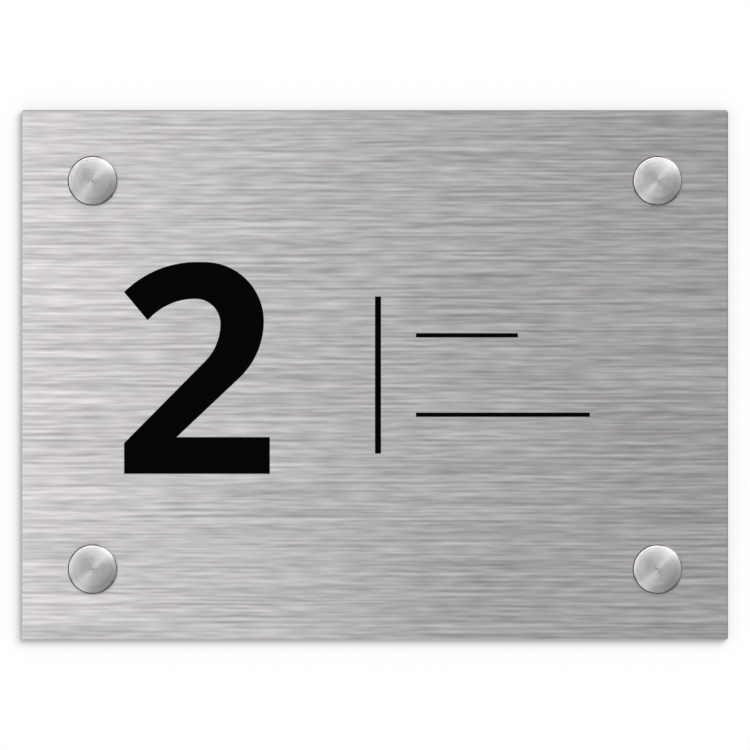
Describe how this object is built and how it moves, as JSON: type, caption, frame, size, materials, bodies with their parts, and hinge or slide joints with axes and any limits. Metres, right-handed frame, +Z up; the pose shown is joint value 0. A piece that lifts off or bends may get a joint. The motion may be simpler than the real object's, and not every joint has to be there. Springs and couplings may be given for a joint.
{
  "type": "door name plate",
  "caption": "Brushed steel door name plate with a black house number, a divider and plain name lines, screwed to the door under turned metal caps.",
  "frame": {"origin": "centre of the plate's back face, which lies flat on the door", "axes": "+X along the plate's length to the viewer's right, +Z up the door, +Y into the door; the front faces -Y"},
  "size_m": [0.2, 0.0315, 0.15],
  "materials": {
    "brushed_plate": "brushed along the plate's length",
    "turned_cap": "lathe turned face, smooth rim",
    "seat_brass": "turned",
    "nylon_washer": "moulded",
    "zinc_screw": "zinc plated",
    "black_film": "satin"
  },
  "bodies": {
    "root": {"plate": "brushed_plate", "cap_upper_left": "turned_cap", "cap_upper_right": "turned_cap", "cap_lower_left": "turned_cap", "cap_lower_right": "turned_cap", "cap_seat_upper_left": "seat_brass", "cap_seat_upper_right": "seat_brass", "cap_seat_lower_left": "seat_brass", "cap_seat_lower_right": "seat_brass", "soft_washer_upper_left": "nylon_washer", "soft_washer_upper_right": "nylon_washer", "soft_washer_lower_left": "nylon_washer", "soft_washer_lower_right": "nylon_washer", "wall_screws": "zinc_screw", "house_number": "black_film", "divider_bar": "black_film", "upper_name_line": "black_film", "lower_name_line": "black_film"}
  },
  "joints": []
}
